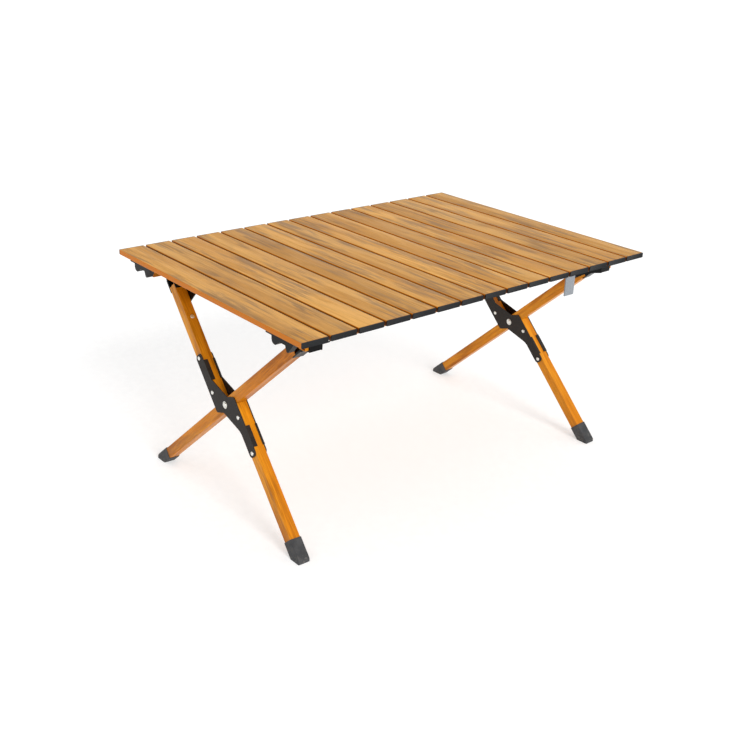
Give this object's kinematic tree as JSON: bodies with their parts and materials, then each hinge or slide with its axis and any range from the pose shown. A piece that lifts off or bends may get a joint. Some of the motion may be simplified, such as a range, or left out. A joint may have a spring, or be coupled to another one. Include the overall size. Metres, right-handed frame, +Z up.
{
  "type": "folding picnic table",
  "caption": "Low folding table: roll-up slatted top on a cross-legged frame whose legs and rails fold together.",
  "frame": {"origin": "on the floor under the middle of the tabletop", "axes": "+Z up, +X along the table across the slats, +Y along the slats towards the back"},
  "size_m": [0.8644, 0.6, 0.45],
  "materials": {
    "slat": "wood-grain transfer print over powder coat, satin",
    "cord": "braided sleeve",
    "black_moulding": "fine matte",
    "webbing": "flat woven webbing",
    "frame_tube": "wood-grain transfer print over powder coat, satin",
    "plate": "fine-textured matte powder coat",
    "rivet": "zinc plated",
    "foot": "matte"
  },
  "bodies": {
    "slat_01_body": {"slat_01": "slat", "hook_clips_left": "black_moulding", "slat_cords": "cord"},
    "slat_02_body": {"slat_02": "slat"},
    "slat_03_body": {"slat_03": "slat"},
    "slat_04_body": {"slat_04": "slat"},
    "slat_05_body": {"slat_05": "slat"},
    "slat_06_body": {"slat_06": "slat"},
    "slat_07_body": {"slat_07": "slat"},
    "slat_08_body": {"slat_08": "slat"},
    "slat_09_body": {"slat_09": "slat"},
    "slat_10_body": {"slat_10": "slat"},
    "slat_11_body": {"slat_11": "slat"},
    "slat_12_body": {"slat_12": "slat", "webbing_tab": "webbing"},
    "slat_13_body": {"slat_13": "slat"},
    "slat_14_body": {"slat_14": "slat"},
    "slat_15_body": {"slat_15": "slat", "hook_clips_right": "black_moulding"},
    "leg_a_left": {"leg_a_upper_tube_left": "frame_tube", "leg_a_lower_tube_left": "frame_tube", "cross_plate_outer_left": "plate", "cross_plate_inner_left": "plate", "leg_a_fasteners_left": "rivet", "leg_a_end_fitting_left": "black_moulding", "foot_front_left": "foot"},
    "leg_b_left": {"leg_b_tube_left": "frame_tube", "leg_b_end_fitting_left": "black_moulding", "foot_back_left": "foot"},
    "bracket_front_left": {"top_bracket_front_left": "black_moulding", "bracket_pins_front_left": "rivet", "tabletop_peg_front_left": "frame_tube"},
    "rail_half_front_left": {"rail_front_left": "frame_tube", "rail_hinge_leaf_front_left": "black_moulding"},
    "bracket_back_left": {"top_bracket_back_left": "black_moulding", "bracket_pins_back_left": "rivet", "tabletop_peg_back_left": "frame_tube"},
    "rail_half_back_left": {"rail_back_left": "frame_tube", "rail_hinge_leaf_back_left": "black_moulding"},
    "leg_a_right": {"leg_a_upper_tube_right": "frame_tube", "leg_a_lower_tube_right": "frame_tube", "cross_plate_outer_right": "plate", "cross_plate_inner_right": "plate", "leg_a_fasteners_right": "rivet", "leg_a_end_fitting_right": "black_moulding", "foot_front_right": "foot"},
    "leg_b_right": {"leg_b_tube_right": "frame_tube", "leg_b_end_fitting_right": "black_moulding", "foot_back_right": "foot"},
    "bracket_front_right": {"top_bracket_front_right": "black_moulding", "bracket_pins_front_right": "rivet", "tabletop_peg_front_right": "frame_tube"},
    "rail_half_front_right": {"rail_front_right": "frame_tube", "rail_hinge_leaf_front_right": "black_moulding"},
    "bracket_back_right": {"top_bracket_back_right": "black_moulding", "bracket_pins_back_right": "rivet", "tabletop_peg_back_right": "frame_tube"},
    "rail_half_back_right": {"rail_back_right": "frame_tube", "rail_hinge_leaf_back_right": "black_moulding"}
  },
  "joints": [
    {"name": "frame_fold", "type": "hinge", "parent": "bracket_back_left", "child": "leg_a_left", "pos_m": [-0.36465, 0.2116, 0.4046], "axis": [0.9986, 0, -0.0523], "range_deg": [0, 35.8]},
    {"name": "cross_hinge_left", "type": "hinge", "parent": "leg_a_left", "child": "leg_b_left", "pos_m": [-0.3745, 0, 0.2167], "axis": [0.9986, 0, -0.0523], "range_deg": [-71.6, 0]},
    {"name": "front_top_hinge_left", "type": "hinge", "parent": "leg_b_left", "child": "bracket_front_left", "pos_m": [-0.36465, -0.2116, 0.4046], "axis": [0.9986, 0, -0.0523], "range_deg": [0, 35.8]},
    {"name": "rail_fold", "type": "hinge", "parent": "bracket_back_left", "child": "rail_half_back_left", "pos_m": [-0.33785, 0.236, 0.419], "axis": [0, 1, 0], "range_deg": [0, 88]},
    {"name": "rail_mid_hinge_back", "type": "hinge", "parent": "rail_half_back_left", "child": "rail_half_back_right", "pos_m": [0.00975, 0.236, 0.4302], "axis": [0, 1, 0], "range_deg": [-176, 0]},
    {"name": "rail_end_hinge_back_right", "type": "hinge", "parent": "rail_half_back_right", "child": "bracket_back_right", "pos_m": [0.35735, 0.236, 0.419], "axis": [0, 1, 0], "range_deg": [0, 88]},
    {"name": "back_top_hinge_right", "type": "hinge", "parent": "bracket_back_right", "child": "leg_a_right", "pos_m": [0.38415, 0.2116, 0.4046], "axis": [0.9986, 0, 0.0523], "range_deg": [0, 35.8]},
    {"name": "cross_hinge_right", "type": "hinge", "parent": "leg_a_right", "child": "leg_b_right", "pos_m": [0.394, 0, 0.2167], "axis": [0.9986, 0, 0.0523], "range_deg": [-71.6, 0]},
    {"name": "front_top_hinge_right", "type": "hinge", "parent": "leg_b_right", "child": "bracket_front_right", "pos_m": [0.38415, -0.2116, 0.4046], "axis": [0.9986, 0, 0.0523], "range_deg": [0, 35.8]},
    {"name": "rail_end_hinge_front_left", "type": "hinge", "parent": "bracket_front_left", "child": "rail_half_front_left", "pos_m": [-0.33785, -0.236, 0.419], "axis": [0, 1, 0], "range_deg": [0, 88]},
    {"name": "rail_mid_hinge_front", "type": "hinge", "parent": "rail_half_front_left", "child": "rail_half_front_right", "pos_m": [0.00975, -0.236, 0.4302], "axis": [0, 1, 0], "range_deg": [-176, 0]},
    {"name": "tabletop_lift", "type": "slide", "parent": "bracket_back_left", "child": "slat_01_body", "axis": [0, 0, 1], "range_m": [0, 0.15]},
    {"name": "tabletop_roll", "type": "hinge", "parent": "slat_01_body", "child": "slat_02_body", "pos_m": [-0.377, 0, 0.445], "axis": [0, -1, 0], "range_deg": [0, 32], "deforming": ["slat_cords", "webbing_tab"]},
    {"name": "slat_hinge_02", "type": "hinge", "parent": "slat_02_body", "child": "slat_03_body", "pos_m": [-0.319, 0, 0.445], "axis": [0, -1, 0], "range_deg": [0, 32]},
    {"name": "slat_hinge_03", "type": "hinge", "parent": "slat_03_body", "child": "slat_04_body", "pos_m": [-0.261, 0, 0.445], "axis": [0, -1, 0], "range_deg": [0, 32]},
    {"name": "slat_hinge_04", "type": "hinge", "parent": "slat_04_body", "child": "slat_05_body", "pos_m": [-0.203, 0, 0.445], "axis": [0, -1, 0], "range_deg": [0, 32]},
    {"name": "slat_hinge_05", "type": "hinge", "parent": "slat_05_body", "child": "slat_06_body", "pos_m": [-0.145, 0, 0.445], "axis": [0, -1, 0], "range_deg": [0, 32]},
    {"name": "slat_hinge_06", "type": "hinge", "parent": "slat_06_body", "child": "slat_07_body", "pos_m": [-0.087, 0, 0.445], "axis": [0, -1, 0], "range_deg": [0, 32]},
    {"name": "slat_hinge_07", "type": "hinge", "parent": "slat_07_body", "child": "slat_08_body", "pos_m": [-0.029, 0, 0.445], "axis": [0, -1, 0], "range_deg": [0, 32]},
    {"name": "slat_hinge_08", "type": "hinge", "parent": "slat_08_body", "child": "slat_09_body", "pos_m": [0.029, 0, 0.445], "axis": [0, -1, 0], "range_deg": [0, 32]},
    {"name": "slat_hinge_09", "type": "hinge", "parent": "slat_09_body", "child": "slat_10_body", "pos_m": [0.087, 0, 0.445], "axis": [0, -1, 0], "range_deg": [0, 35]},
    {"name": "slat_hinge_10", "type": "hinge", "parent": "slat_10_body", "child": "slat_11_body", "pos_m": [0.145, 0, 0.445], "axis": [0, -1, 0], "range_deg": [0, 38]},
    {"name": "slat_hinge_11", "type": "hinge", "parent": "slat_11_body", "child": "slat_12_body", "pos_m": [0.203, 0, 0.445], "axis": [0, -1, 0], "range_deg": [0, 41]},
    {"name": "slat_hinge_12", "type": "hinge", "parent": "slat_12_body", "child": "slat_13_body", "pos_m": [0.261, 0, 0.445], "axis": [0, -1, 0], "range_deg": [0, 44]},
    {"name": "slat_hinge_13", "type": "hinge", "parent": "slat_13_body", "child": "slat_14_body", "pos_m": [0.319, 0, 0.445], "axis": [0, -1, 0], "range_deg": [0, 44]},
    {"name": "slat_hinge_14", "type": "hinge", "parent": "slat_14_body", "child": "slat_15_body", "pos_m": [0.377, 0, 0.445], "axis": [0, -1, 0], "range_deg": [0, 44]}
  ],
  "couplings": [
    {"joint": "cross_hinge_left", "follows": "frame_fold", "ratio": -2},
    {"joint": "front_top_hinge_left", "follows": "frame_fold", "ratio": 1},
    {"joint": "rail_mid_hinge_back", "follows": "rail_fold", "ratio": -2},
    {"joint": "rail_end_hinge_back_right", "follows": "rail_fold", "ratio": 1},
    {"joint": "back_top_hinge_right", "follows": "frame_fold", "ratio": 1},
    {"joint": "cross_hinge_right", "follows": "frame_fold", "ratio": -2},
    {"joint": "front_top_hinge_right", "follows": "frame_fold", "ratio": 1},
    {"joint": "rail_end_hinge_front_left", "follows": "rail_fold", "ratio": 1},
    {"joint": "rail_mid_hinge_front", "follows": "rail_fold", "ratio": -2},
    {"joint": "slat_hinge_02", "follows": "tabletop_roll", "ratio": 1},
    {"joint": "slat_hinge_03", "follows": "tabletop_roll", "ratio": 1},
    {"joint": "slat_hinge_04", "follows": "tabletop_roll", "ratio": 1},
    {"joint": "slat_hinge_05", "follows": "tabletop_roll", "ratio": 1},
    {"joint": "slat_hinge_06", "follows": "tabletop_roll", "ratio": 1},
    {"joint": "slat_hinge_07", "follows": "tabletop_roll", "ratio": 1},
    {"joint": "slat_hinge_08", "follows": "tabletop_roll", "ratio": 1},
    {"joint": "slat_hinge_09", "follows": "tabletop_roll", "ratio": 1.0938},
    {"joint": "slat_hinge_10", "follows": "tabletop_roll", "ratio": 1.1875},
    {"joint": "slat_hinge_11", "follows": "tabletop_roll", "ratio": 1.2812},
    {"joint": "slat_hinge_12", "follows": "tabletop_roll", "ratio": 1.375},
    {"joint": "slat_hinge_13", "follows": "tabletop_roll", "ratio": 1.375},
    {"joint": "slat_hinge_14", "follows": "tabletop_roll", "ratio": 1.375}
  ]
}
